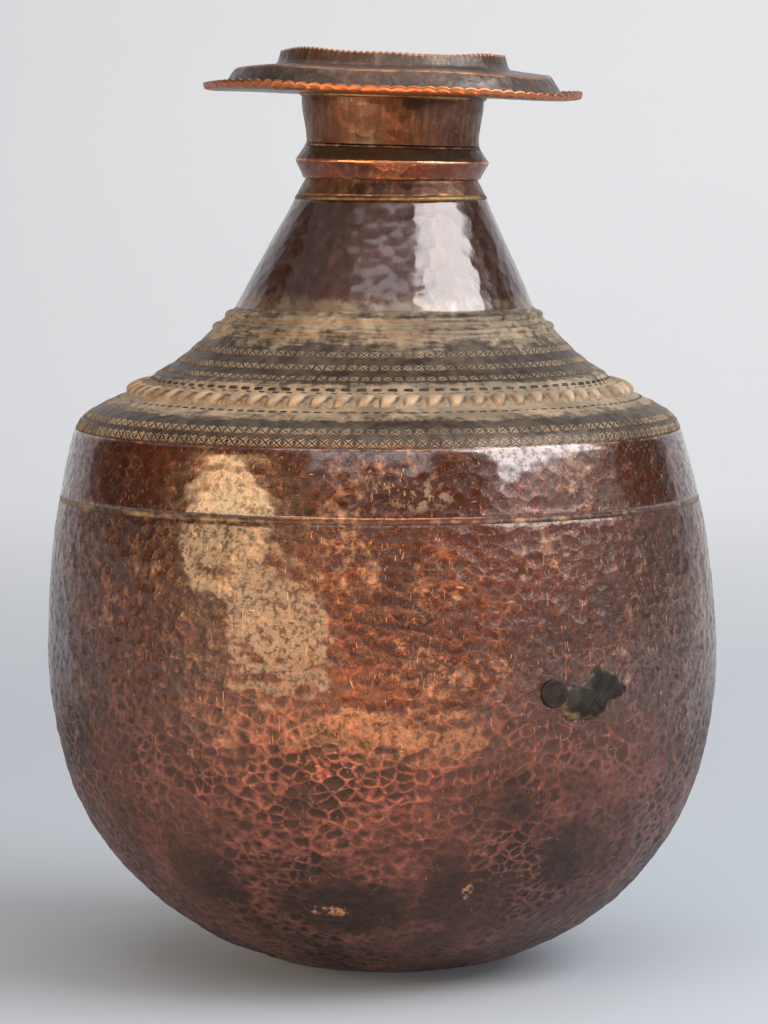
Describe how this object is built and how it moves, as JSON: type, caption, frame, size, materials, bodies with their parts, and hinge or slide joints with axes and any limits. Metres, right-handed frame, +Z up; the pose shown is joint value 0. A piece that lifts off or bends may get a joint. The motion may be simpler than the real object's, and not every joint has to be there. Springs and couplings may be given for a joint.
{
  "type": "lota water pot",
  "caption": "Large hand-hammered copper water pot: round belly, chased shoulder with a band of bosses, tall cone, ridged neck band and a wide stepped brim.",
  "frame": {"origin": "centre of the flat spot that the pot stands on", "axes": "+Z up along the pot's own axis; -Y is the side seen from the front, with the repair to the right of it"},
  "size_m": [0.3199, 0.32, 0.4382],
  "materials": {
    "bowl_copper": "hammered copper, worn glossy, dark red-brown patina",
    "body_copper": "chased copper, dark brown patina with pale residue in the punch marks",
    "neck_copper": "hammered copper, mottled brown",
    "band_copper": "copper, rubbed smooth below its ridge",
    "brim_copper": "copper with a bright worn edge",
    "cap_copper": "copper, brown patina, worn on its edges",
    "braze": "dull brass spelter",
    "solder": "rough grey-black lead solder"
  },
  "bodies": {
    "root": {"base_bowl": "bowl_copper", "upper_body": "body_copper", "body_braze": "braze", "neck_tube": "neck_copper", "neck_braze": "braze", "neck_band": "band_copper", "band_braze": "braze", "brim_plate": "brim_copper", "brim_braze": "braze", "rim_cap": "cap_copper", "cap_braze": "braze", "mouth_braze": "braze", "repair_patch": "solder", "repair_solder": "solder"}
  },
  "joints": []
}
